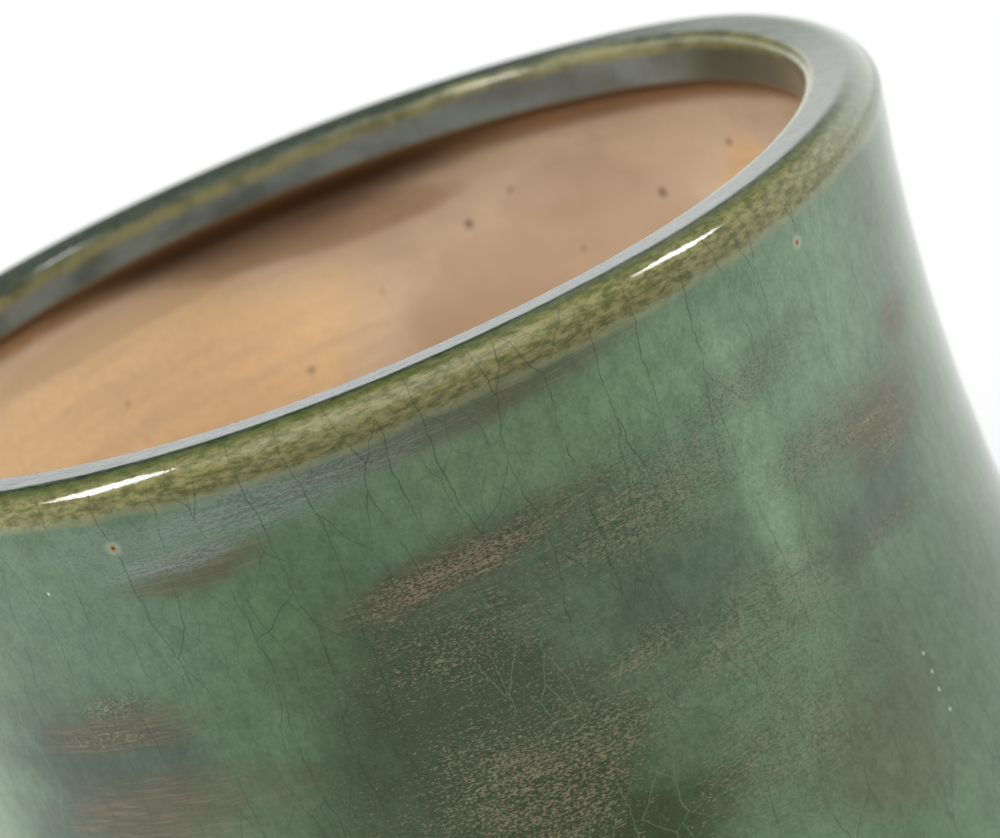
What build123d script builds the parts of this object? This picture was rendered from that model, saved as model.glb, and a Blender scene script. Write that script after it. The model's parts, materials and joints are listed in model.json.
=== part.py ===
from build123d import *
import os
from math import atan, cos, pi, sin

# A round glazed terracotta pot: one fired clay body, the green glaze coat on its wall,
# the olive glaze coat over its rim, and a rubber plug in the drain hole.
# Millimetres. The origin is the centre of the flat that the foot stands on, and +Z is up.

# Driving dimensions
pot_height = 265.0
rim_radius = 125.0            # the widest point of the rim's rounded shoulder
lip_inner_radius = 109.5      # the glazed face inside the mouth
foot_radius = 92.0
wall_thickness = 7.5          # clay and glaze together, below the lip
glaze_thickness = 1.0
floor_top = 15.0
foot_recess_height = 5.0
drain_hole_radius = 12.0

# The side is one smooth curve from the foot to the shoulder of the rim. The radii of its
# control points are evenly spaced in height, and these are the ones between its ends: they
# give a rounded belly of radius 127.4 at a height of 96, and a waist of 120.6 at 198.
side_middle_radii = (125.0, 147.0, 118.0, 119.0)
side_lean_at_shoulder = 0.15  # how fast the radius grows with height at the side's top

# The rim
shoulder_radius = 6.0
lip_corner_radius = 2.2
crest_fall = 4.5              # degrees that the rim's top slopes down towards the mouth
lip_glaze_depth = 12.0        # how far below the crest the rim's glaze reaches inside
lip_clay_depth = 13.2         # how far below the crest the thick lip of clay reaches
lip_edge_radius = 0.8
undercut_height = 4.0         # the slope from the lip's lower edge out to the inner wall
undercut_radius = 3.0

# The foot and the floor
glaze_line_height = 8.0       # the clay is bare below this
foot_ring_width = 14.0
foot_edge_radius = 2.0
floor_corner_radius = 18.0
drain_edge_radius = 1.5

# The drain plug
plug_clearance = 0.05
plug_flange_radius = 17.5
plug_flange_thickness = 3.0
plug_tip_radius = 10.8
plug_tip_below_floor = 13.0
plug_edge_radius = 0.8
plug_tab_width = 12.0
plug_tab_thickness = 4.0
plug_tab_height = 11.0
plug_tab_hole_radius = 2.5

# Worked out from the above
shoulder_lean = atan(side_lean_at_shoulder)
crest_lean = crest_fall * pi / 180
side_top = pot_height - shoulder_radius * (1 + sin(shoulder_lean))
side_top_radius = rim_radius - shoulder_radius * (1 - cos(shoulder_lean))
side_step = side_top / (len(side_middle_radii) + 2)
side_radii = (
    foot_radius, *side_middle_radii,
    side_top_radius - side_lean_at_shoulder * side_step, side_top_radius)
foot_inner_radius = foot_radius - foot_ring_width


def cut_radii(radii, share):
    """The control radii of the lower and the upper part of a curve cut at a share of it."""
    lower, upper = [], []
    while radii:
        lower.append(radii[0])
        upper.insert(0, radii[-1])
        radii = [first + (second - first) * share for first, second in zip(radii, radii[1:])]
    return lower, upper


def side_curve(depth, bottom=0.0, top=side_top):
    """The side's curve between two heights, moved in by a depth."""
    below_top, _ = cut_radii([radius - depth for radius in side_radii], top / side_top)
    _, radii = cut_radii(below_top, bottom / top)
    step = (top - bottom) / (len(radii) - 1)
    return Bezier(*[(radius, bottom + index * step) for index, radius in enumerate(radii)])


def rim_edges(depth, bottom):
    """The rim's outline, moved in by a depth, from the side's top to the lip's face."""
    def round_point(centre, radius, angle):
        return (centre[0] + radius * cos(angle), centre[1] + radius * sin(angle))

    # The sloping crest touches the shoulder's arc and the corner's arc.
    outer_centre = (rim_radius - shoulder_radius, pot_height - shoulder_radius)
    inner_centre_radius = lip_inner_radius + lip_corner_radius
    crest_drop = (outer_centre[0] - inner_centre_radius) * sin(crest_lean)
    centre_rise = (shoulder_radius - lip_corner_radius - crest_drop) / cos(crest_lean)
    inner_centre = (inner_centre_radius, outer_centre[1] + centre_rise)
    outer_radius = shoulder_radius - depth
    inner_radius = lip_corner_radius - depth
    # The side is moved in along the radius, so every depth starts at the side's top.
    shoulder_start = (side_top_radius - depth, side_top)
    shoulder_middle = round_point(outer_centre, outer_radius, pi / 4 - shoulder_lean / 2)
    crest_outer = round_point(outer_centre, outer_radius, pi / 2 + crest_lean)
    crest_inner = round_point(inner_centre, inner_radius, pi / 2 + crest_lean)
    corner_middle = round_point(inner_centre, inner_radius, 3 * pi / 4)
    lip_top = round_point(inner_centre, inner_radius, pi)
    return [
        ThreePointArc(shoulder_start, shoulder_middle, crest_outer),
        Line(crest_outer, crest_inner),
        ThreePointArc(crest_inner, corner_middle, lip_top),
        Line(lip_top, (lip_top[0], bottom)),
    ]


def spin(edges):
    """A solid turned about Z from a closed outline of radius and height."""
    return revolve(Plane.XZ * make_face(Curve() + edges), Axis.Z)


def rounded(solid, corners, radius):
    """Round the circular edges of a turned solid that pass through the given corners."""
    def passes(edge, corner):
        return abs(edge.radius - corner[0]) < 0.01 and abs(edge.arc_center.Z - corner[1]) < 0.01

    circles = solid.edges().filter_by(GeomType.CIRCLE)
    chosen = [edge for edge in circles if any(passes(edge, corner) for corner in corners)]
    return fillet(chosen, radius)


def make_clay_body():
    """Wall, floor, foot ring and rim core: the one piece of fired clay."""
    outer_side = side_curve(glaze_thickness)
    rim = rim_edges(glaze_thickness, pot_height - lip_clay_depth)
    lip_corner = (lip_inner_radius + glaze_thickness, pot_height - lip_clay_depth)
    inner_side = side_curve(wall_thickness, floor_top, lip_corner[1] - undercut_height)
    wall_corner = (inner_side.position_at(1).X, inner_side.position_at(1).Y)
    floor_corner = (inner_side.position_at(0).X, floor_top)
    foot_corner = (foot_radius - glaze_thickness, 0)
    clay = spin([
        outer_side,
        *rim,
        Line(lip_corner, wall_corner),
        inner_side,
        Polyline(
            floor_corner, (drain_hole_radius, floor_top),
            (drain_hole_radius, foot_recess_height), (foot_inner_radius, foot_recess_height),
            (foot_inner_radius, 0), foot_corner),
    ])
    clay = rounded(clay, [floor_corner], floor_corner_radius)
    clay = rounded(clay, [wall_corner], undercut_radius)
    clay = rounded(clay, [lip_corner], lip_edge_radius)
    clay = rounded(clay, [(drain_hole_radius, floor_top)], drain_edge_radius)
    return rounded(clay, [foot_corner, (foot_inner_radius, 0)], foot_edge_radius)


def make_wall_glaze():
    """The glaze coat on the outside, from the bare foot up to the rim's shoulder."""
    outer = side_curve(0.0, glaze_line_height)
    inner = side_curve(glaze_thickness, glaze_line_height)
    return spin([outer, Line(outer @ 1, inner @ 1), inner, Line(inner @ 0, outer @ 0)])


def make_rim_glaze():
    """The glaze coat over the rim, from the shoulder to the face inside the mouth."""
    bottom = pot_height - lip_glaze_depth
    outer = rim_edges(0.0, bottom)
    inner = rim_edges(glaze_thickness, bottom)
    lower_end = Line(outer[-1] @ 1, inner[-1] @ 1)
    shoulder_end = Line(inner[0] @ 0, outer[0] @ 0)
    return spin([*outer, *inner, lower_end, shoulder_end])


def make_drain_plug():
    """A tapered rubber plug with a flange on the floor of the pot and a tab to pull."""
    stem_radius = drain_hole_radius - plug_clearance
    stem_top = floor_top - drain_edge_radius
    tip = floor_top - plug_tip_below_floor
    flange_bottom = floor_top + plug_clearance
    flange_top = flange_bottom + plug_flange_thickness
    plug = spin([Polyline(
        (0, tip), (plug_tip_radius, tip), (stem_radius, stem_top), (stem_radius, flange_bottom),
        (plug_flange_radius, flange_bottom), (plug_flange_radius, flange_top),
        (0, flange_top), close=True)])
    plug = rounded(plug, [(plug_tip_radius, tip), (plug_flange_radius, flange_top)], plug_edge_radius)
    tab_round_height = flange_top + plug_tab_height - plug_tab_width / 2
    tab_root = Pos(0, 0, (flange_top + tab_round_height) / 2) * Box(
        plug_tab_width, plug_tab_thickness, tab_round_height - flange_top)
    across = Pos(0, 0, tab_round_height) * Rot(90, 0, 0)
    tab_round = across * Cylinder(plug_tab_width / 2, plug_tab_thickness)
    finger_hole = across * Cylinder(plug_tab_hole_radius, 2 * plug_tab_thickness)
    return plug + tab_root + tab_round - finger_hole


nodes = {
    "clay_body": make_clay_body,
    "wall_glaze": make_wall_glaze,
    "rim_glaze": make_rim_glaze,
    "drain_plug": make_drain_plug,
}

os.makedirs("parts", exist_ok=True)
for name, make in nodes.items():
    export_step(make(), f"parts/{name}.step")
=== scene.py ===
import json
from collections import namedtuple
from math import atan, comb, cos, exp, pi, radians, sin

import bmesh
import bpy
import numpy as np
from mathutils import Matrix, Vector


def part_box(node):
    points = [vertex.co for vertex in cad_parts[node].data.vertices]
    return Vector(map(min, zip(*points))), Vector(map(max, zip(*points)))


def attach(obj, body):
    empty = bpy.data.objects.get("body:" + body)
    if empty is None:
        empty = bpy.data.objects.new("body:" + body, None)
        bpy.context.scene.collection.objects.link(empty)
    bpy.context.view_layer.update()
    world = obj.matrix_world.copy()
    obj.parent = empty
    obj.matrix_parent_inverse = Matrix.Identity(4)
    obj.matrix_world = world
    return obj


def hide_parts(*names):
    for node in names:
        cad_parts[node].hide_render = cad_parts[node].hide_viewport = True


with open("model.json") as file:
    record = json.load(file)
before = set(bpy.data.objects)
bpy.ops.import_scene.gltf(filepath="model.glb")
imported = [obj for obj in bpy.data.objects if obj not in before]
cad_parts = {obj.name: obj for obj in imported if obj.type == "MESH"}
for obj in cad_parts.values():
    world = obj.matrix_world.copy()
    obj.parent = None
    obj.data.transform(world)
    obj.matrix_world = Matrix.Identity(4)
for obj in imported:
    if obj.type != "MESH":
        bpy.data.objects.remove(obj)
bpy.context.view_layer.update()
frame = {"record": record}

# A glazed terracotta pot. Sizes in this script are in millimetres unless a name says otherwise,
# and heights are above the foot. Azimuths are in degrees: 0 faces the camera, +90 is +X.
MM = 0.001

# ---------------------------------------------------------------- sizes, from the CAD frame

rim_low, rim_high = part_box("rim_glaze")
clay_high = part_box("clay_body")[1]
wall_low, wall_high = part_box("wall_glaze")
plug_low, plug_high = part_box("drain_plug")

pot_height = rim_high.z / MM
rim_radius = rim_high.x / MM
glaze_line = wall_low.z / MM
side_top = wall_high.z / MM
glaze_thickness = (rim_high.z - clay_high.z) / MM
mouth = next(mount for mount in frame["record"]["mounts"] if mount["name"] == "mouth")
lip_radius = mouth["dims"]["r_mm"]
lip_glaze_end = rim_low.z / MM

# The side's curve from the foot to the rim's shoulder: control radii, evenly spaced in height.
foot_radius = 92.0
side_lean = 0.15             # how fast the radius grows with height at the side's top
shoulder_radius = (pot_height - side_top) / (1 + sin(atan(side_lean)))
side_top_radius = rim_radius - shoulder_radius * (1 - cos(atan(side_lean)))
side_radii = [
    foot_radius, 125.0, 147.0, 118.0, 119.0,
    side_top_radius - side_lean * side_top / 6, side_top_radius]
wall_thickness = 7.5
lip_clay_depth = 13.2        # how far below the crest the thick lip of clay reaches
lip_clay_end = pot_height - lip_clay_depth
lip_corner_radius = 2.2
crest_fall = 4.5             # degrees that the rim's top slopes down towards the mouth
undercut_height = 4.0
floor_top = 15.0
floor_corner = 18.0
foot_recess = 5.0
foot_ring_width = 14.0
foot_edge = 2.0
drain_radius = 12.0
drain_edge = 1.5

# The drain plug
plug_gap = 0.05
stem_radius = drain_radius - plug_gap
tip_radius = 10.8
flange_thickness = 3.0
flange_edge = 0.8
groove_radii = (7.0, 14.5)   # a shallow groove round the flange's top
groove_depth = 0.5
tab_width = 12.0
tab_thickness = 4.0
tab_hole_radius = 2.5

# ---------------------------------------------------------------- curves and meshes


def side_radius(height, depth=0.0):
    """The radius of the side at a height, moved in by a depth."""
    share = height / side_top
    last = len(side_radii) - 1
    terms = [
        comb(last, index) * share ** index * (1 - share) ** (last - index) * radius
        for index, radius in enumerate(side_radii)]
    return sum(terms) - depth


def side_points(bottom, top, depth, count):
    """Points (radius, height) along the side."""
    heights = np.linspace(bottom, top, count)
    return [(side_radius(height, depth), height) for height in heights]


def bezier(points, count):
    """Points along a curve with two or more control points, without its last one."""
    last = len(points) - 1
    shares = np.linspace(0, 1, count, endpoint=False)
    weights = [
        [comb(last, index) * share ** index * (1 - share) ** (last - index)
         for index in range(last + 1)] for share in shares]
    return [tuple(point) for point in np.array(weights) @ np.array(points, float)]


def arc(centre, radius, start, end, count):
    """Points along an arc, without its last one. Angles are in radians from level outward."""
    angles = np.linspace(start, end, count, endpoint=False)
    return [(centre[0] + radius * cos(angle), centre[1] + radius * sin(angle)) for angle in angles]


def rim_outline(depth, bottom, shoulder_count, corner_count, face_count):
    """Points over the rim, from the side's top to a height on the face inside the mouth.

    The sloping crest touches the shoulder's arc and the corner's arc."""
    lean = atan(side_lean)
    fall = radians(crest_fall)
    shoulder_centre = (rim_radius - shoulder_radius, pot_height - shoulder_radius)
    corner_centre_radius = lip_radius + lip_corner_radius
    drop = (shoulder_centre[0] - corner_centre_radius) * sin(fall)
    rise = (shoulder_radius - lip_corner_radius - drop) / cos(fall)
    corner_centre = (corner_centre_radius, shoulder_centre[1] + rise)
    top = pi / 2 + fall
    shoulder = arc(shoulder_centre, shoulder_radius - depth, -lean, top, shoulder_count)
    corner = arc(corner_centre, lip_corner_radius - depth, top, pi, corner_count)
    crest_start = (shoulder_centre[0] + (shoulder_radius - depth) * cos(top),
                   shoulder_centre[1] + (shoulder_radius - depth) * sin(top))
    crest = bezier([crest_start, corner[0]], 8)
    face_end = (lip_radius + depth, bottom)
    face = bezier([(lip_radius + depth, corner_centre[1]), face_end], face_count)
    return [*shoulder, *crest, *corner, *face, face_end]


def round_corner(before, corner, after, radius, count=6):
    """Points that round a corner between two straight runs."""
    corner = Vector(corner)
    into = (Vector(before) - corner).normalized()
    out = (Vector(after) - corner).normalized()
    return [tuple(point) for point in bezier(
        [corner + into * radius, corner, corner + out * radius], count)] + [
            tuple(corner + out * radius)]


def turned_mesh(name, outline, columns, move=None, closed=True, sharp_angle=40):
    """A mesh turned about Z from an outline of radius and height.

    move(azimuth, radius, height) may shift a point. Rows of radius 0 become one vertex."""
    mesh = bpy.data.meshes.new(name)
    build = bmesh.new()
    rows = []
    for radius, height in outline:
        if radius < 1e-6:
            rows.append([build.verts.new((0, 0, height * MM))] * columns)
            continue
        row = []
        for column in range(columns):
            azimuth = 2 * pi * column / columns
            r, z = move(azimuth, radius, height) if move else (radius, height)
            row.append(build.verts.new((r * sin(azimuth) * MM, -r * cos(azimuth) * MM, z * MM)))
        rows.append(row)
    if closed:
        rows.append(rows[0])
    for lower, upper in zip(rows, rows[1:]):
        for column in range(columns):
            after = (column + 1) % columns
            corners = [lower[column], lower[after], upper[after], upper[column]]
            corners = [v for index, v in enumerate(corners) if v not in corners[:index]]
            if len(corners) > 2:
                build.faces.new(corners)
    bmesh.ops.recalc_face_normals(build, faces=build.faces)
    for face in build.faces:
        face.smooth = True
    limit = radians(sharp_angle)
    for edge in build.edges:
        edge.smooth = len(edge.link_faces) == 2 and edge.calc_face_angle() < limit
    build.to_mesh(mesh)
    build.free()
    return mesh


def add_piece(name, mesh, body, node, material):
    """Put a mesh in the scene as a piece that rides on a body and stands for a CAD node."""
    piece = bpy.data.objects.new(name, mesh)
    bpy.context.scene.collection.objects.link(piece)
    piece.data.materials.append(material)
    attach(piece, body)
    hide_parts(node)
    return piece


# ---------------------------------------------------------------- material nodes in few words


class Tree:
    """A node tree. Each call adds a node and gives back its output, and takes plain values or
    outputs as inputs."""

    def __init__(self, tree):
        self.tree = tree
        tree.nodes.clear()

    def node(self, kind, inputs=(), **settings):
        made = self.tree.nodes.new(kind)
        for key, value in settings.items():
            setattr(made, key, value)
        pairs = inputs.items() if isinstance(inputs, dict) else enumerate(inputs)
        for key, value in pairs:
            if value is None:
                continue
            socket = made.inputs[key]
            if isinstance(value, bpy.types.NodeSocket):
                self.tree.links.new(value, socket)
            else:
                socket.default_value = value
        return made

    def math(self, operation, *values, clamp=False):
        return self.node("ShaderNodeMath", values, operation=operation, use_clamp=clamp).outputs[0]

    def vector(self, operation, *values):
        made = self.node("ShaderNodeVectorMath", values, operation=operation)
        return made.outputs["Value" if operation in ("LENGTH", "DOT_PRODUCT") else "Vector"]

    def combine(self, x, y, z):
        return self.node("ShaderNodeCombineXYZ", (x, y, z)).outputs[0]

    def noise(self, place, size, detail=2.0, roughness=0.5, stretch=(1, 1, 1), shift=0.0):
        """Noise of about 0 to 1 with features of a size, longer along an axis by its stretch."""
        scale = tuple(1 / (size * s) for s in stretch)
        moved = self.vector("MULTIPLY_ADD", place, scale, (shift, shift * 1.7, -shift))
        return self.node("ShaderNodeTexNoise", {
            "Vector": moved, "Scale": 1.0, "Detail": detail, "Roughness": roughness}).outputs["Fac"]

    def noise_vector(self, place, size, detail=1.0, shift=0.0):
        moved = self.vector("MULTIPLY_ADD", place, (1 / size,) * 3, (shift, -shift, shift * 0.7))
        color = self.node("ShaderNodeTexNoise", {
            "Vector": moved, "Scale": 1.0, "Detail": detail}).outputs["Color"]
        return self.vector("SUBTRACT", color, (0.5, 0.5, 0.5))

    def step(self, value, low, high, to_low=0.0, to_high=1.0):
        """A smooth step from to_low to to_high as value goes from low to high."""
        return self.node(
            "ShaderNodeMapRange", (value, low, high, to_low, to_high),
            interpolation_type="SMOOTHSTEP").outputs[0]

    def mix(self, share, first, second, blend="MIX"):
        made = self.node("ShaderNodeMix", data_type="RGBA", blend_type=blend)
        for key, value in (("Factor_Float", share), ("A_Color", first), ("B_Color", second)):
            socket = next(s for s in made.inputs if s.identifier == key)
            if isinstance(value, bpy.types.NodeSocket):
                self.tree.links.new(value, socket)
            else:
                socket.default_value = value if isinstance(value, float) else (*value, 1.0)
        return next(s for s in made.outputs if s.identifier == "Result_Color")

    def blend(self, share, first, second):
        """A number between two numbers."""
        return self.node("ShaderNodeMix", (share, None, first, second)).outputs[0]

    def most(self, values):
        total = values[0]
        for value in values[1:]:
            total = self.math("MAXIMUM", total, value)
        return total


def new_material(name):
    material = bpy.data.materials.new(name)
    material.use_nodes = True
    return material, Tree(material.node_tree)


def azimuth_of(tree, x, y):
    """The azimuth in degrees of a point or a direction."""
    toward_camera = tree.math("MULTIPLY", y, -1.0)
    return tree.math("MULTIPLY", tree.math("ARCTAN2", x, toward_camera), 180 / pi)


def finish_material(tree, color, roughness, height=None, bump_mm=0.1, **inputs):
    """A surface with a colour, a roughness, and a bump from a height that spans bump_mm."""
    surface = tree.node("ShaderNodeBsdfPrincipled", {
        "Base Color": color, "Roughness": roughness, **inputs})
    if height is not None:
        bump = tree.node("ShaderNodeBump", {
            "Strength": 1.0, "Distance": bump_mm * MM, "Height": height})
        tree.tree.links.new(bump.outputs[0], surface.inputs["Normal"])
    tree.node("ShaderNodeOutputMaterial", (surface.outputs[0],))


Spot = namedtuple("Spot", "place x y azimuth radius height")


def shaded_spot(tree):
    """The shaded point in millimetres, with its x, y, azimuth in degrees, radius and height."""
    metres = tree.node("ShaderNodeTexCoord").outputs["Object"]
    place = tree.vector("MULTIPLY", metres, (1 / MM,) * 3)
    x, y, height = tree.node("ShaderNodeSeparateXYZ", (place,)).outputs
    azimuth = azimuth_of(tree, x, y)
    radius = tree.vector("LENGTH", tree.combine(x, y, 0.0))
    return Spot(place, x, y, azimuth, radius, height)


# ---------------------------------------------------------------- the glaze

mm_per_degree = rim_radius * pi / 180


def srgb(red, green, blue):
    """A linear colour from the 0 to 255 values that a screen shows."""
    def linear(value):
        value /= 255
        return value / 12.92 if value <= 0.04045 else ((value + 0.055) / 1.055) ** 2.4
    return linear(red), linear(green), linear(blue)


def patch(tree, around, height, ragged, middle, half_size, tilt=0.0, soft=0.7):
    """1 inside an oval patch on the pot, 0 outside.

    The middle is an azimuth and a height. ragged is a noise that eats the patch's edge."""
    across = tree.math("SUBTRACT", around, middle[0] * mm_per_degree)
    up = tree.math("SUBTRACT", height, middle[1])
    turn = radians(tilt)
    along = tree.math("MULTIPLY_ADD", up, sin(turn) / half_size[0],
                      tree.math("MULTIPLY", across, cos(turn) / half_size[0]))
    over = tree.math("MULTIPLY_ADD", up, cos(turn) / half_size[1],
                     tree.math("MULTIPLY", across, -sin(turn) / half_size[1]))
    distance = tree.vector("LENGTH", tree.combine(along, over, 0.0))
    return tree.step(tree.math("ADD", distance, ragged), 1 + soft / 2, 1 - soft / 2)


def paint(tree, color, around, height, ragged, areas, soft):
    """Lay soft areas of colour over a colour, one after another."""
    for middle, half_size, tilt, area_color, share in areas:
        inside = patch(tree, around, height, ragged, middle, half_size, tilt, soft)
        color = tree.mix(tree.math("MULTIPLY", inside, share), color, srgb(*area_color))
    return color


def crack_lines(tree, around, height, cell, stretch, wander, width, shift):
    """1 on the lines of a net of cracks in the glaze, 0 off them, fainter where they run level.

    The lines are the borders of random cells, which are tall and narrow by the stretch."""
    flat = tree.combine(around, height, shift)
    swing = tree.noise_vector(flat, 38.0, 1.0, shift)
    shake = tree.noise_vector(flat, 6.0, 2.0, shift + 5)
    flat = tree.vector("MULTIPLY_ADD", swing, (0.5 * wander, wander, 0), flat)
    flat = tree.vector("MULTIPLY_ADD", shake, (2.6, 2.6, 0), flat)
    shrink = (1 / cell, 1 / (cell * stretch), 0)
    scaled = tree.vector("MULTIPLY", flat, shrink)
    nearest, second = [tree.node("ShaderNodeTexVoronoi", {
        "Vector": scaled, "Scale": 1.0, "Randomness": 1.0}, feature=feature,
        voronoi_dimensions="2D").outputs["Position"] for feature in ("F1", "F2")]
    middle = tree.vector("MULTIPLY", tree.vector("ADD", nearest, second), (0.5, 0.5, 0.5))
    across = tree.vector("NORMALIZE", tree.vector("SUBTRACT", second, nearest))
    distance = tree.math("ABSOLUTE", tree.vector(
        "DOT_PRODUCT", tree.vector("SUBTRACT", scaled, middle), across))
    # The distance is measured in the stretched cells, so it is turned back to millimetres.
    slope = tree.vector("MULTIPLY", across, shrink)
    distance_mm = tree.math("DIVIDE", distance, tree.vector("LENGTH", slope))
    upright = tree.math("ABSOLUTE", tree.vector(
        "DOT_PRODUCT", tree.vector("NORMALIZE", slope), (1.0, 0.0, 0.0)))
    line = tree.step(distance_mm, 1.5 * width, 0.4 * width)
    return tree.math("MULTIPLY", line, tree.step(upright, 0.45, 0.85, 0.35, 1.0))


# Areas of the glaze: azimuth and height of the middle, half sizes in mm, tilt in degrees,
# colour, and how much of it shows.
jade = (122, 150, 122)
mid_green = (92, 120, 84)
deep_green = (64, 84, 56)
slate = (72, 86, 76)
wall_areas = [
    ((25, 240), (18, 22), 0, jade, 0.7),
    ((42, 238), (24, 26), 0, jade, 0.7),
    ((-32, 238), (26, 16), 0, (104, 132, 108), 0.6),
    ((8, 244), (40, 11), 0, (118, 144, 108), 0.7),
    ((-14, 240), (22, 10), 0, (92, 120, 86), 0.6),
    ((-14, 224), (14, 12), 0, mid_green, 0.6),
    ((-4, 192), (28, 36), 0, (56, 75, 48), 0.85),
    ((3, 164), (26, 16), 8, (46, 70, 32), 0.95),
    ((19, 204), (17, 9), 3, slate, 0.5),
    ((43, 195), (17, 8), 0, slate, 0.6),
    ((-37, 206), (20, 8), 0, slate, 0.7),
    ((-44, 184), (24, 40), 0, (62, 78, 66), 0.75),
    ((30, 216), (5, 26), 0, (140, 168, 138), 0.7),
    ((32, 152), (16, 14), -12, (94, 96, 72), 0.5),
    ((-18, 105), (46, 26), 3, deep_green, 0.6),
    ((32, 72), (44, 24), -4, jade, 0.5),
    ((-30, 48), (34, 16), 0, slate, 0.5),
]
# The last number is how thickly the grit lies.
brushed_areas = [
    ((1, 227), (25, 5), 5, 1.25), ((-1, 213), (30, 13), 2, 0.85), ((2, 200), (28, 12), 0, 0.65),
    ((0, 181), (32, 19), 3, 1.0), ((17, 222), (26, 11), 5, 0.92), ((31, 233), (20, 5), 6, 0.8),
    ((13, 196), (14, 5), 5, 0.95), ((40, 213), (24, 6), 2, 0.85), ((46, 209.5), (14, 1.6), 0, 1.2),
    ((48, 203), (12, 5), 0, 0.9), ((-36, 218.5), (11, 3), 2, 0.9), ((-37, 212), (15, 3), 2, 0.8),
    ((24, 190), (26, 12), 3, 0.82), ((22, 166), (28, 15), 4, 0.78), ((43, 189), (14, 2), 0, 0.8),
    ((-26, 118), (40, 7), 2, 0.95), ((14, 92), (44, 9), -3, 0.9), ((-6, 58), (36, 7), 2, 0.8),
]
brown_areas = [
    ((0, 227), (24, 5), 5), ((-35, 194), (26, 8), 1), ((-36, 213), (17, 4), 3),
    ((4, 254), (34, 3), 2), ((-20, 243.5), (15, 4), 3), ((48, 208), (15, 7), 0),
    ((57, 222), (9, 4), 0), ((-20, 114), (30, 6), 2),
    ((18, 88), (36, 6), -3), ((-40, 68), (26, 5), 3),
]
scratch_and_sheen_areas = [((-15, 252), (32, 5.5), 1), ((-22, 246.5), (16, 2.5), 3)]
# Tiny painted glints of light.
glint_specks = [(-35.7, 244.7), (41, 162.3), (41.1, 158), (41, 154), (41.3, 149)]
pinholes = [(-27, 251.5), (42.5, 251)]


def crack_net(tree, around, height, place):
    """The cracks: long ones that mostly run up the wall, and a faint finer net between."""
    long_cracks = crack_lines(tree, around, height, 10.0, 4.5, 20.0, 0.13, 3.0)
    fine_cracks = crack_lines(tree, around, height, 6.0, 1.7, 12.0, 0.10, 11.0)
    shown = tree.step(tree.noise(place, 12.0, 3.0, 0.6, shift=4.0), 0.36, 0.60)
    fine_shown = tree.step(tree.noise(place, 20.0, 2.0, shift=9.0), 0.44, 0.60)
    return (tree.math("MULTIPLY", long_cracks, tree.blend(shown, 0.2, 1.0)),
            tree.math("MULTIPLY", fine_cracks, fine_shown))


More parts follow.
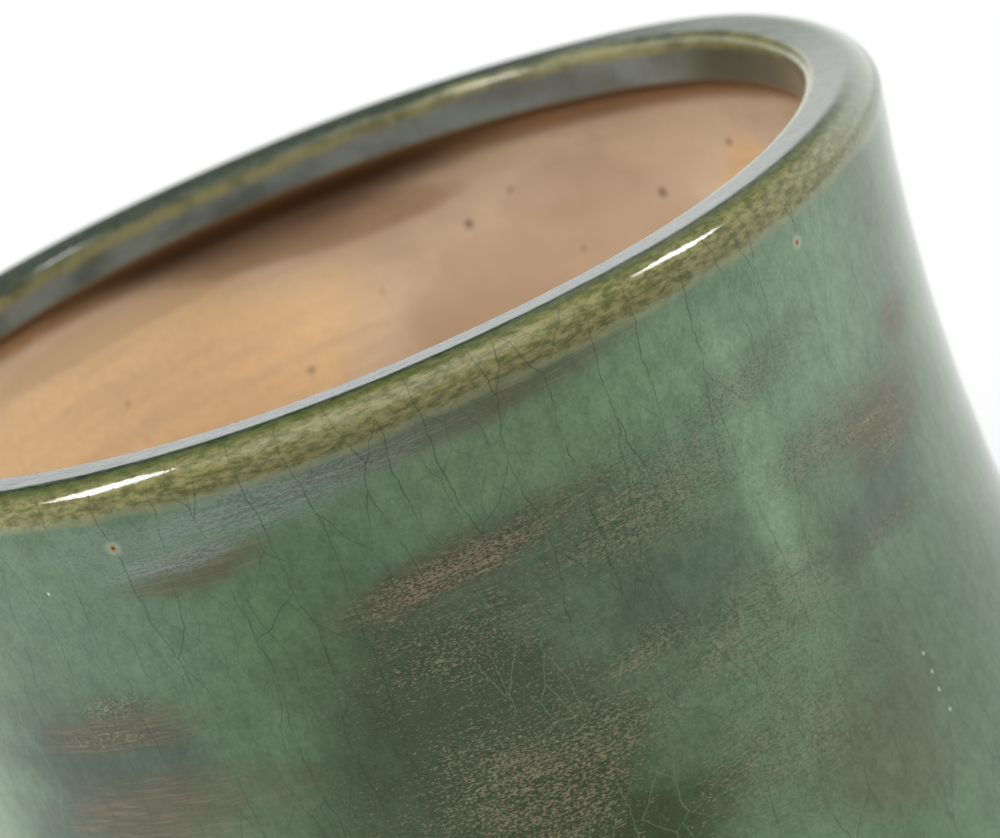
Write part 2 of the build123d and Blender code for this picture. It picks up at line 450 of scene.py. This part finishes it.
def glaze_material(name):
    """Green craze-lined glaze, brushed with brown on the wall and thin and olive on the rim."""
    material, tree = new_material(name)
    place, x, _, azimuth, radius, height = shaded_spot(tree)
    around = tree.math("MULTIPLY", azimuth, mm_per_degree)
    # The painted areas are those of the front, and come again round the back.
    turned = tree.math("FLOORED_MODULO", tree.math("ADD", azimuth, 90.0), 180.0)
    folded = tree.math("SUBTRACT", turned, 90.0)
    painted = tree.math("MULTIPLY", folded, mm_per_degree)

    # The green, in soft areas with fine upright fibres.
    edge = tree.noise(place, 14.0, 4.0, 0.6, stretch=(1.6, 1.6, 1))
    ragged = tree.math("MULTIPLY_ADD", edge, 1.5, -0.75)
    clouds = tree.noise(place, 40.0, 2.0, 0.5, stretch=(1, 1, 1.6), shift=2.0)
    fibres = tree.noise(place, 0.8, 3.0, 0.7, stretch=(1, 1, 1.4), shift=8.0)
    blotches = tree.noise(place, 3.2, 3.0, 0.65, stretch=(1, 1, 1.5), shift=6.0)
    green = tree.mix(tree.step(clouds, 0.3, 0.7), srgb(90, 114, 86), srgb(112, 138, 108))
    green = paint(tree, green, painted, height, ragged, wall_areas, 1.1)
    mottle = tree.math("ADD", tree.math("MULTIPLY", fibres, 0.5), tree.math("MULTIPLY", blotches, 0.5))
    lighter = tree.mix(1.0, green, (1.2, 1.18, 1.18), "MULTIPLY")
    darker = tree.mix(1.0, green, (0.76, 0.79, 0.76), "MULTIPLY")
    color = tree.mix(tree.step(mottle, 0.32, 0.68), darker, lighter)

    # Brown glaze brushed round the wall, and tan grit in rows where the brush dragged, with painted shadow
    # in the gaps between the rows.
    lines = tree.noise(place, 0.9, 4.0, 0.7, stretch=(10, 10, 0.5), shift=1.0)
    brown = tree.most([patch(tree, painted, height, ragged, *area, soft=1.2) for area in brown_areas])
    brown_share = tree.math("MULTIPLY", brown, tree.step(lines, 0.36, 0.56, 0.6, 1.0))
    brown_tone = tree.mix(tree.step(lines, 0.46, 0.66), srgb(88, 82, 62), srgb(124, 112, 88))
    color = tree.mix(tree.math("MULTIPLY", brown_share, 0.85), color, brown_tone)
    brushed = tree.most([
        tree.math("MULTIPLY", patch(tree, painted, height, ragged, *area[:3], soft=1.7), area[3])
        for area in brushed_areas])
    grains = tree.noise(place, 0.32, 2.0, 0.6, stretch=(2.4, 2.4, 0.85), shift=5.0)
    rows = tree.math("MULTIPLY_ADD", tree.math("SUBTRACT", lines, 0.5), 0.4, grains)
    grit = tree.math("ADD", rows, tree.math("MULTIPLY_ADD", brushed, 0.26, -0.25))
    grit_share = tree.step(grit, 0.52, 0.60)
    # Painted shadow of the grit: dark green-brown where the rows dip.
    grit_shadow_share = tree.math("MULTIPLY", brushed, tree.step(rows, 0.48, 0.40))
    color = tree.mix(tree.math("MULTIPLY", brushed, 0.3, clamp=True), color, srgb(88, 88, 64))
    color = tree.mix(tree.math("MULTIPLY", grit_shadow_share, 0.55, clamp=True), color, srgb(42, 56, 32))
    color = tree.mix(tree.math("MULTIPLY", grit_share, 0.75), color, srgb(150, 136, 108))
    # Scratched glaze: real scratches, whose pale colour is partly a painted silvery sheen of light.
    scratch_and_sheen = tree.most(
        [patch(tree, painted, height, ragged, *area, soft=1.2) for area in scratch_and_sheen_areas])
    scratch_and_sheen_share = tree.math("MULTIPLY", scratch_and_sheen, tree.step(
        tree.math("ADD", rows, tree.math("MULTIPLY", lines, 0.5)), 0.66, 0.88, 0.25, 1.0))
    color = tree.mix(tree.math("MULTIPLY", scratch_and_sheen_share, 0.75), color, srgb(140, 154, 146))

    # The rim: olive where the glaze is thin over the shoulder, deep green on the crest, cream
    # on the inner corner, a painted blue-grey reflection down the face inside, and brown at its
    # lower end.
    waver = tree.math("SUBTRACT", tree.noise(place, 14.0, 3.0, 0.6, shift=7.0), 0.5)
    drop = tree.math("MULTIPLY_ADD", waver, 3.0, tree.math("SUBTRACT", pot_height, height))
    early = tree.step(around, -90.0, -20.0, 2.4, 0.0)
    rim_ragged = tree.math("MULTIPLY_ADD", fibres, 1.6, tree.math("ADD", drop, early))
    on_rim = tree.step(rim_ragged, 10.6, 7.6)
    wrapped = tree.combine(around, radius, height)
    mottled = tree.noise(wrapped, 1.1, 4.0, 0.68, stretch=(2.5, 1, 1), shift=3.0)
    olive = tree.mix(tree.step(mottled, 0.34, 0.66), srgb(86, 90, 46), srgb(138, 134, 86))
    olive = tree.mix(tree.step(azimuth, 46.0, 66.0, 0.0, 0.75), olive, srgb(116, 124, 108))
    olive = tree.mix(tree.step(radius, 124.0, 121.0, 0.0, 0.7), olive, srgb(58, 72, 36))
    color = tree.mix(on_rim, color, olive)
    # Painted reflection: a pale line along the olive band's lower edge.
    band_edge_reflection = tree.math("MULTIPLY", on_rim, tree.math("SUBTRACT", 1.0, on_rim))
    color = tree.mix(band_edge_reflection, color, srgb(176, 180, 138))
    high_up = tree.step(height, side_top - 12.0, side_top - 9.0)
    crest = tree.math("MULTIPLY", high_up, tree.step(radius, 121.4, 119.8))
    crest_tone = tree.mix(tree.step(mottled, 0.35, 0.65), srgb(30, 46, 26), srgb(64, 74, 58))
    off_right = tree.math("ABSOLUTE", tree.math("SUBTRACT", azimuth, 90.0))
    right_crest = tree.step(off_right, 70.0, 20.0, 0.0, 0.5)
    cloudy = tree.step(tree.noise(wrapped, 5.0, 4.0, 0.7, stretch=(1.6, 1, 1), shift=21.0), 0.34, 0.68)
    crest_tone = tree.mix(tree.math("MULTIPLY", right_crest, cloudy), crest_tone, srgb(104, 112, 88))
    color = tree.mix(crest, color, crest_tone)
    inner = tree.math("MULTIPLY", high_up, tree.step(radius, lip_radius + 3.0, lip_radius + 2.0))
    inner_drop = tree.math("ADD", drop, tree.step(x, -10.0, 80.0, 0.0, 2.4))
    band = tree.step(tree.noise(wrapped, 9.0, 3.0, 0.6, shift=9.0), 0.3, 0.55, 0.45, 1.0)
    off_right_end = tree.math("ABSOLUTE", tree.math("SUBTRACT", azimuth, 98.0))
    right_end = tree.step(off_right_end, 30.0, 14.0, 0.0, 0.8)
    cream_tone = tree.mix(right_end, srgb(138, 136, 96), srgb(112, 112, 70))
    cream = tree.math("MULTIPLY", tree.math("MULTIPLY", inner, band), tree.step(inner_drop, 1.7, 3.0))
    color = tree.mix(cream, color, cream_tone)
    # Painted reflection: a blue-grey sheen down the face inside, dimmer on the left. Near the right end,
    # the glaze's own dark green shows instead.
    face_sheen_left_to_right = tree.mix(tree.step(x, -60.0, 60.0), srgb(74, 86, 78), srgb(96, 102, 98))
    face_sheen_and_green = tree.mix(tree.step(edge, 0.35, 0.65), face_sheen_left_to_right, srgb(114, 124, 120))
    face_sheen_and_green = tree.mix(right_end, face_sheen_and_green, srgb(44, 52, 30))
    face = tree.math("MULTIPLY", inner, tree.step(inner_drop, 4.4, 6.4))
    color = tree.mix(face, color, face_sheen_and_green)
    low_end = tree.step(height, lip_glaze_end + 1.8, lip_glaze_end + 0.5)
    worn_end = tree.math("MULTIPLY", inner, low_end)
    color = tree.mix(worn_end, color, srgb(104, 80, 52))

    # Cracks darken the glaze, greenish high up and brown low down; a few thin ones are pale.
    long_cracks, fine_cracks = crack_net(tree, around, height, place)
    crack_color = tree.mix(tree.step(clouds, 0.42, 0.6), srgb(50, 66, 46), srgb(82, 72, 56))
    off_rim = tree.math("SUBTRACT", 1.0, on_rim)
    color = tree.mix(tree.math("MULTIPLY", long_cracks, 0.6), color, crack_color)
    fine_cracks = tree.math("MULTIPLY", fine_cracks, off_rim)
    pale = tree.mix(tree.step(clouds, 0.45, 0.62), srgb(66, 62, 46), srgb(134, 156, 128))
    color = tree.mix(tree.math("MULTIPLY", fine_cracks, 0.42), color, pale)

    # Pinholes: a dark pit of painted shade, with an orange edge and a pale halo.
    for hole in pinholes:
        off = tree.combine(tree.math("SUBTRACT", painted, hole[0] * mm_per_degree),
                           tree.math("SUBTRACT", height, hole[1]), 0.0)
        away = tree.vector("LENGTH", off)
        color = tree.mix(tree.step(away, 2.2, 0.8, 0.0, 0.55), color, srgb(170, 186, 158))
        color = tree.mix(tree.step(away, 0.8, 0.5), color, srgb(176, 116, 70))
        color = tree.mix(tree.step(away, 0.38, 0.2), color, srgb(50, 30, 20))

    # Painted glints: tiny pale specks.
    for middle in glint_specks:
        inside = patch(tree, painted, height, 0.0, middle, (0.3, 0.4), 0.0, 0.8)
        color = tree.mix(tree.math("MULTIPLY", inside, 0.8), color, srgb(206, 222, 196))

    worn = tree.most([brown_share, scratch_and_sheen_share, grit_share])
    roughness = tree.math("MULTIPLY_ADD", worn, 0.2, 0.07)
    roughness = tree.math("MULTIPLY_ADD", crest, 0.06, roughness)
    uneven = tree.math("MULTIPLY", tree.math("MULTIPLY", right_crest, high_up), cloudy)
    roughness = tree.math("MULTIPLY_ADD", uneven, 0.2, roughness)
    peel = tree.noise(place, 6.0, 2.0, 0.5, shift=12.0)
    relief = tree.math("MULTIPLY_ADD", grit_share, 0.6, tree.math("MULTIPLY", peel, 0.8))
    relief = tree.math("MULTIPLY_ADD", tree.math("MULTIPLY", mottled, on_rim), 0.6, relief)
    crest_grain = tree.noise(wrapped, 1.4, 3.0, 0.7, stretch=(5, 1, 1), shift=15.0)
    relief = tree.math("MULTIPLY_ADD", tree.math("MULTIPLY", crest_grain, crest), 0.9, relief)
    finish_material(tree, color, roughness, relief, 0.06, **{"IOR": 1.52})
    return material


# Areas of the bare clay inside, as above but with azimuths measured from the far side. Some are painted
# light and shade: orange-buff pools of light where the softboxes fall, and a painted brown shade below the
# lip.
clay_tone_light_and_shade_areas = [
    # A painted pool of light on the lower left of the far side.
    ((-36, 213), (84, 28), 2, (250, 214, 164), 0.95),
    ((-28, 240), (46, 4), 0, (208, 180, 142), 0.7),
    # A small painted pool of light with a slanting edge, on the right.
    ((62, 224), (14, 12), 60, (240, 196, 142), 0.8),
    # Painted shade below the lip.
    ((0, 240), (40, 5), -3, (150, 116, 84), 0.7),
    ((34, 231), (24, 8), 0, (188, 162, 138), 0.5),
    ((28, 206), (50, 20), 4, (194, 164, 132), 0.5),
    ((50, 238), (22, 6), 0, (226, 200, 166), 0.6),
]
iron_specks = [
    ((46.5, 225), 1.3), ((18.7, 228.5), 1.2), ((32.5, 214.5), 0.6), ((25.5, 234), 0.7),
    ((-7.5, 207), 0.9), ((-32, 221), 0.6), ((60, 236), 0.9), ((-50, 215), 0.6), ((5, 219), 0.5),
]


def clay_material():
    """Unglazed buff terracotta with iron specks, with painted orange-buff pools of light and painted shade
    and shadow below the lip.
    """
    material, tree = new_material("buff_terracotta")
    spot = shaded_spot(tree)
    place, height = spot.place, spot.height
    around = tree.math("MULTIPLY", tree.math("ARCTAN2", spot.x, spot.y), 180 / pi * mm_per_degree)
    clouds = tree.noise(place, 40.0, 4.0, 0.55)
    fine = tree.noise(place, 1.6, 4.0, 0.7)
    rings = tree.noise(place, 5.0, 2.0, 0.6, stretch=(8, 8, 1), shift=4.0)
    color = tree.mix(tree.step(clouds, 0.35, 0.65), srgb(208, 184, 158), srgb(234, 210, 180))
    ragged = tree.math("MULTIPLY_ADD", clouds, 0.8, -0.4)
    # The areas lay painted pools of light and painted shade over the clay's colour.
    color = paint(tree, color, around, height, ragged, clay_tone_light_and_shade_areas, 0.45)
    color = tree.mix(tree.step(rings, 0.4, 0.7, 0.0, 0.3), color, srgb(196, 168, 140))
    color = tree.mix(tree.step(fine, 0.4, 0.75, 0.0, 0.5), color, srgb(206, 180, 150))
    # Painted shadow: a dark brown band below the lip's undercut. It reaches further down near the far
    # side's middle and is weaker to the right.
    undercut_end = lip_clay_end - undercut_height
    off_shadow_middle = tree.math("ABSOLUTE", tree.math("ADD", around, 10.0))
    undercut_shadow_reach = tree.step(off_shadow_middle, 95.0, 20.0, 1.0, 8.0)
    undercut_shadow = tree.step(tree.math("ADD", height, undercut_shadow_reach), undercut_end, undercut_end + 9)
    undercut_shadow = tree.math("MULTIPLY", undercut_shadow, tree.step(around, 110.0, 10.0, 0.5, 0.93))
    # Painted shade: a softer brown that fades in over 30 mm below the lip, on the right part of the far
    # side.
    under_lip_shade = tree.step(height, lip_clay_end - 34, lip_clay_end - 4, 0.0, 0.5)
    off_shade = tree.math("ABSOLUTE", tree.math("SUBTRACT", around, 90.0))
    under_lip_shade = tree.math("MULTIPLY", under_lip_shade, tree.step(off_shade, 165.0, 85.0))
    color = tree.mix(under_lip_shade, color, srgb(132, 106, 82))
    color = tree.mix(undercut_shadow, color, srgb(66, 48, 31))
    lip = tree.step(height, lip_clay_end - 0.4, lip_clay_end + 0.4)
    color = tree.mix(lip, color, srgb(112, 86, 58))
    for middle, size in iron_specks:
        inside = patch(tree, around, height, 0.0, middle, (size, size), 0.0, 0.8)
        color = tree.mix(tree.math("MULTIPLY", inside, 0.7), color, srgb(84, 62, 46))
    finish_material(tree, color, 0.85, fine, 0.12, **{"IOR": 1.45, "Specular IOR Level": 0.25})
    return material


def rubber_material():
    """Satin black rubber with a little dust."""
    material, tree = new_material("plug_rubber")
    place = shaded_spot(tree).place
    fine = tree.noise(place, 0.7, 4.0, 0.6)
    dust = tree.noise(place, 6.0, 4.0, 0.6)
    color = tree.mix(tree.step(dust, 0.45, 0.8), srgb(38, 38, 39), srgb(62, 58, 54))
    finish_material(tree, color, tree.blend(dust, 0.45, 0.7), fine, 0.05)
    return material


# ---------------------------------------------------------------- the pieces


def hand_made(azimuth, radius, height):
    """A thrown pot's slight unevenness: an oval, wavy rim and soft rings up the wall."""
    true_below = 20              # the foot and the floor stay true
    level_below = 200            # the rim's waves in height fade out down to here
    share = max(0.0, min(1.0, (height - true_below) / (pot_height - true_below)))
    wander = 0.25 * sin(2 * azimuth + 0.7) + 0.12 * sin(3 * azimuth + 2.1)
    rings = 0.05 * sin(height / 3.1 + 0.6 * sin(azimuth)) * (1 - share) * share * 4
    past_lift = (azimuth - radians(118)) / radians(24)
    lift = 1.1 * exp(-past_lift * past_lift)
    dip = 0.12 * sin(3 * azimuth + 1.0) + 0.08 * sin(7 * azimuth)
    top = max(0.0, (height - level_below) / (pot_height - level_below))
    return radius + wander * share + rings, height + (dip + lift) * top * top


below_seam = 8.0             # the points behind the glaze stop this far below the seam
under_counts = (12, 6, 5)    # points of the shoulder, corner and face behind the rim's glaze


def make_glaze(material):
    """The coat as two closed skins that meet where the wall turns into the rim."""
    columns = 640
    depth = glaze_thickness
    rolled_edge = 0.6            # the coat's free edges round over in this height
    near_seam = [side_top - below for below in (0.9, 0.4, 0.1)]
    wall = side_points(glaze_line + rolled_edge, side_top - 1.6, 0, 150)
    wall += [(side_radius(height), height) for height in near_seam]
    seam = [(side_top_radius, side_top), (side_top_radius - depth, side_top)]
    back = side_points(glaze_line, side_top - below_seam, depth, 24)[::-1]
    roll = bezier([back[-1], (wall[0][0] - 0.2, glaze_line - 0.25), wall[0]], 5)[1:]
    wall_mesh = turned_mesh("wall_glaze_coat", [*wall, *seam, *back, *roll], columns, hand_made)
    rim = rim_outline(0, lip_glaze_end + rolled_edge, 36, 16, 12)
    under = rim_outline(depth, lip_glaze_end, *under_counts)[::-1]
    rim.insert(1, (side_top_radius + 0.015, side_top + 0.1))
    rim_end = bezier([rim[-1], (rim[-1][0] - 0.05, lip_glaze_end - 0.15), under[0]], 5)[1:]
    rim_mesh = turned_mesh("rim_glaze_coat", [*rim, *rim_end, *under], columns, hand_made)
    add_piece("wall_glaze_coat", wall_mesh, "pot", "wall_glaze", material)
    add_piece("rim_glaze_coat", rim_mesh, "pot", "rim_glaze", material)


def make_clay(material):
    """The clay: wall, floor, foot and the lip under the glaze."""
    depth = glaze_thickness
    lip_edge = 0.9
    undercut_edge = 2.2
    outside = side_points(foot_edge, side_top - below_seam, depth, 40)
    over = rim_outline(depth, lip_glaze_end, *under_counts)
    lip_corner = (lip_radius + depth, lip_clay_end)
    wall_corner_height = lip_clay_end - undercut_height
    wall_corner = (side_radius(wall_corner_height, wall_thickness), wall_corner_height)
    lip = round_corner(over[-1], lip_corner, wall_corner, lip_edge)
    below = (side_radius(wall_corner_height - 10, wall_thickness), wall_corner_height - 10)
    undercut = round_corner(lip_corner, wall_corner, below, undercut_edge, 8)
    inside_top = wall_corner_height - 2.4
    inside = side_points(floor_top + floor_corner, inside_top, wall_thickness, 130)[::-1]
    floor_edge = (side_radius(floor_top, wall_thickness), floor_top)
    corner = round_corner(inside[-1], floor_edge, (drain_radius, floor_top), floor_corner, 16)
    hole_top = round_corner(corner[-1], (drain_radius, floor_top), (drain_radius, foot_recess), drain_edge)
    ring = foot_radius - foot_ring_width
    hole_bottom = (drain_radius, foot_recess)
    recess = round_corner(hole_bottom, (ring, foot_recess), (ring, 0), foot_edge)
    foot_inner = round_corner((ring, foot_recess), (ring, 0), (foot_radius, 0), foot_edge)
    foot_outer = round_corner((ring, 0), (foot_radius - depth, 0), outside[0], foot_edge)
    floor = [(radius, floor_top) for radius in np.linspace(corner[-1][0], hole_top[0][0], 12)[1:-1]]
    under = [(radius, foot_recess) for radius in np.linspace(drain_radius, recess[0][0], 12)[:-1]]
    outline = [*outside, *over, *lip, *undercut, *inside, *corner, *floor, *hole_top,
               *under, *recess, *foot_inner, *foot_outer]

    mesh = turned_mesh("fired_clay", outline, 384, hand_made)
    add_piece("fired_clay", mesh, "pot", "clay_body", material)


def add_tab(mesh, base, width, thickness, height, hole_radius):
    """Add the pull tab to the plug's mesh: a rounded plate with a finger hole through it."""
    half = width / 2
    centre = base + height - half
    count = 48
    build = bmesh.new()
    build.from_mesh(mesh)
    sides = []
    for y in (-thickness / 2, thickness / 2):
        outer, inner = [], []
        for index in range(count):
            angle = 2 * pi * index / count
            across, up = cos(angle), sin(angle)
            reach = half
            if up < 0:
                reach = min(half / max(abs(across), 1e-6), (centre - base) / -up)
            outer.append(build.verts.new((reach * across * MM, y * MM, (centre + reach * up) * MM)))
            inner.append(build.verts.new(
                (hole_radius * across * MM, y * MM, (centre + hole_radius * up) * MM)))
        sides.append((outer, inner))
    (front_outer, front_inner), (back_outer, back_inner) = sides
    made = []
    for index in range(count):
        after = (index + 1) % count
        for one, two in ((front_outer, front_inner), (back_inner, back_outer),
                         (back_outer, front_outer), (front_inner, back_inner)):
            made.append(build.faces.new([one[index], one[after], two[after], two[index]]))
    bmesh.ops.recalc_face_normals(build, faces=made)
    rims = {edge for face in made for edge in face.edges if edge.calc_face_angle(0.0) > radians(60)}
    bmesh.ops.bevel(build, geom=list(rims), offset=0.5 * MM, segments=3, profile=0.5, affect="EDGES")
    for face in build.faces:
        face.smooth = True
    build.to_mesh(mesh)
    build.free()


def make_plug(material):
    """A tapered stem under a flange with a grooved top, and a tab to pull it by."""
    flange_bottom = floor_top + plug_gap
    flange_top = flange_bottom + flange_thickness
    top = plug_high.z / MM
    bottom = plug_low.z / MM
    flange = plug_high.x / MM
    stem_top = (stem_radius, floor_top - drain_edge)
    stem_end = (stem_radius, flange_bottom)
    low_edge = (flange, flange_bottom)
    high_edge = (flange, flange_top)
    centre = (0, flange_top)
    groove_in, groove_out = groove_radii
    groove_bottom = flange_top - groove_depth
    outline = [
        (0, bottom), *round_corner((0, bottom), (tip_radius, bottom), stem_top, flange_edge),
        stem_top, stem_end,
        *round_corner(stem_end, low_edge, high_edge, 0.3),
        *round_corner(low_edge, high_edge, centre, flange_edge),
        (groove_out, flange_top), (groove_out - groove_depth, groove_bottom),
        (groove_in + groove_depth, groove_bottom), (groove_in, flange_top),
        centre]
    mesh = turned_mesh("rubber_plug", outline, 96, closed=False)
    sunk = 0.4
    tab_height = top - flange_top + sunk
    add_tab(mesh, flange_top - sunk, tab_width, tab_thickness, tab_height, tab_hole_radius)
    add_piece("rubber_plug", mesh, "plug", "drain_plug", material)


# ---------------------------------------------------------------- stage, light and camera

rim_centre = Vector((0, 0, rim_high.z))
softbox_distance = 1.0


def make_floor():
    """A plain pale floor that turns to even white far from the pot."""
    material, tree = new_material("pale_floor")
    spot = shaded_spot(tree)
    far = tree.step(spot.radius, 150.0, 600.0)
    seen = tree.node("ShaderNodeLightPath").outputs["Is Camera Ray"]
    front = tree.step(tree.math("ABSOLUTE", spot.azimuth), 85.0, 40.0)
    dim = tree.math("MULTIPLY", front, tree.math("SUBTRACT", 1.0, seen))
    color = tree.mix(tree.math("MULTIPLY", dim, 0.6), (0.8, 0.8, 0.8), (0.2, 0.2, 0.2))
    shine = tree.blend(dim, 1.0, tree.step(spot.radius, 700.0, 2500.0, 0.45, 0.9))
    diffuse = tree.node("ShaderNodeBsdfDiffuse", (color,)).outputs[0]
    glow = tree.node("ShaderNodeEmission", ((1, 1, 1, 1), shine)).outputs[0]
    mixed = tree.node("ShaderNodeMixShader", (far, diffuse, glow)).outputs[0]
    tree.node("ShaderNodeOutputMaterial", (mixed,))
    half = 6.0
    mesh = bpy.data.meshes.new("floor")
    mesh.from_pydata([(-half, -half, 0), (half, -half, 0), (half, half, 0), (-half, half, 0)],
                     [], [(0, 1, 2, 3)])
    mesh.materials.append(material)
    floor = bpy.data.objects.new("floor", mesh)
    bpy.context.scene.collection.objects.link(floor)


def make_world():
    """A white room seen directly. The lit surfaces see a white screen round the sides and the
    back, a dark room above it, and a pale ceiling."""
    world = bpy.data.worlds.new("studio")
    world.use_nodes = True
    bpy.context.scene.world = world
    tree = Tree(world.node_tree)
    direction = tree.node("ShaderNodeTexCoord").outputs["Generated"]
    x, y, z = tree.node("ShaderNodeSeparateXYZ", (direction,)).outputs
    elevation = tree.math("MULTIPLY", tree.math("ARCSINE", z), 180 / pi)
    side = tree.math("ABSOLUTE", azimuth_of(tree, x, y))
    top = tree.step(side, 120.0, 165.0, 33.0, tree.step(x, 0.085, 0.115, 12.5, 21.0))
    fade = tree.step(side, 166.0, 140.0, 3.0, 9.0)
    screen = tree.step(elevation, tree.math("ADD", top, fade), tree.math("SUBTRACT", top, fade))
    glow = tree.step(side, 80.0, 110.0, 1.0, 1.5)
    screen = tree.math("MULTIPLY", screen, tree.step(side, 48.0, 85.0))
    behind = tree.math("MULTIPLY", tree.step(x, 0.12, 0.05), tree.step(side, 120.0, 150.0))
    overhead = tree.vector("DOT_PRODUCT", direction, (0.0, -0.5, 0.866))
    ceiling = tree.step(overhead, 0.75, 0.95, 0.0, 1.7)
    room = tree.most([tree.blend(behind, 0.42, 0.08), ceiling])
    strength = tree.blend(screen, room, glow)
    seen = tree.node("ShaderNodeLightPath").outputs["Is Camera Ray"]
    strength = tree.blend(seen, strength, 1.0)
    background = tree.node("ShaderNodeBackground", ((0.98, 0.99, 1, 1), strength))
    tree.node("ShaderNodeOutputWorld", (background.outputs[0],))


def make_softbox(name, direction, size, brightness):
    """A soft rectangular light that faces the rim, longer towards the camera."""
    light = bpy.data.lights.new(name, "AREA")
    light.shape = "RECTANGLE"
    light.size, light.size_y = size
    light.energy = brightness * pi * size[0] * size[1]
    lamp = bpy.data.objects.new(name, light)
    bpy.context.scene.collection.objects.link(lamp)
    away = Vector(direction).normalized()
    along = Vector((0, 1, 0))
    across = along.cross(away).normalized()
    along = away.cross(across)
    lamp.matrix_world = Matrix.Translation(rim_centre + away * softbox_distance) @ Matrix(
        (across, along, away)).transposed().to_4x4()


def make_camera():
    """The photograph's view: close, a little above the rim, and rolled to one side."""
    distance = 0.653
    aimed_at = rim_centre + Vector((0, 0, 2.0 * MM))
    elevation = radians(13.06)
    roll = radians(-21.98)
    # The rim's centre is left of the view's middle and above it, by these slopes.
    aim = Vector((-0.061133, -0.0631, 1)).normalized()
    back = Vector((0, -cos(elevation), sin(elevation)))
    upright = Matrix(((1, 0, 0), -(Vector((1, 0, 0)).cross(-back)), -back))
    rolled = Matrix.Rotation(roll, 3, "Z")
    turn = Vector((0, 0, 1)).rotation_difference(aim).to_matrix()
    axes = turn @ rolled @ upright
    data = bpy.data.cameras.new("camera")
    data.sensor_width = 36.0
    data.lens = 108.0
    data.clip_start = 0.01
    camera = bpy.data.objects.new("camera", data)
    bpy.context.scene.collection.objects.link(camera)
    facing = Matrix((axes[0], -axes[1], -axes[2])).transposed()
    camera.matrix_world = Matrix.Translation(aimed_at + back * distance) @ facing.to_4x4()
    bpy.context.scene.camera = camera

    # The nearest side of the wall is in focus, from wherever the camera stands.
    axis = bpy.data.objects.new("pot_axis", None)
    focus = bpy.data.objects.new("focus", None)
    for empty in (axis, focus):
        bpy.context.scene.collection.objects.link(empty)
    axis.location = rim_centre * 0.8
    follow = focus.constraints.new("COPY_LOCATION")
    follow.target = camera
    near = focus.constraints.new("LIMIT_DISTANCE")
    near.target = axis
    near.distance = rim_radius * MM
    near.limit_mode = "LIMITDIST_ONSURFACE"
    opening_mm = 5.4
    data.dof.use_dof = True
    data.dof.focus_object = focus
    data.dof.aperture_fstop = data.lens / opening_mm


make_glaze(glaze_material("crackle_glaze"))
make_clay(clay_material())
make_plug(rubber_material())
make_floor()
make_world()
make_softbox("left_softbox", (-0.63, -0.21, 0.75), (0.30, 0.22), 28.0)
make_softbox("right_softbox", (0.70, -0.15, 0.70), (0.25, 0.15), 28.0)
make_camera()
bpy.context.scene.view_settings.view_transform = "Standard"
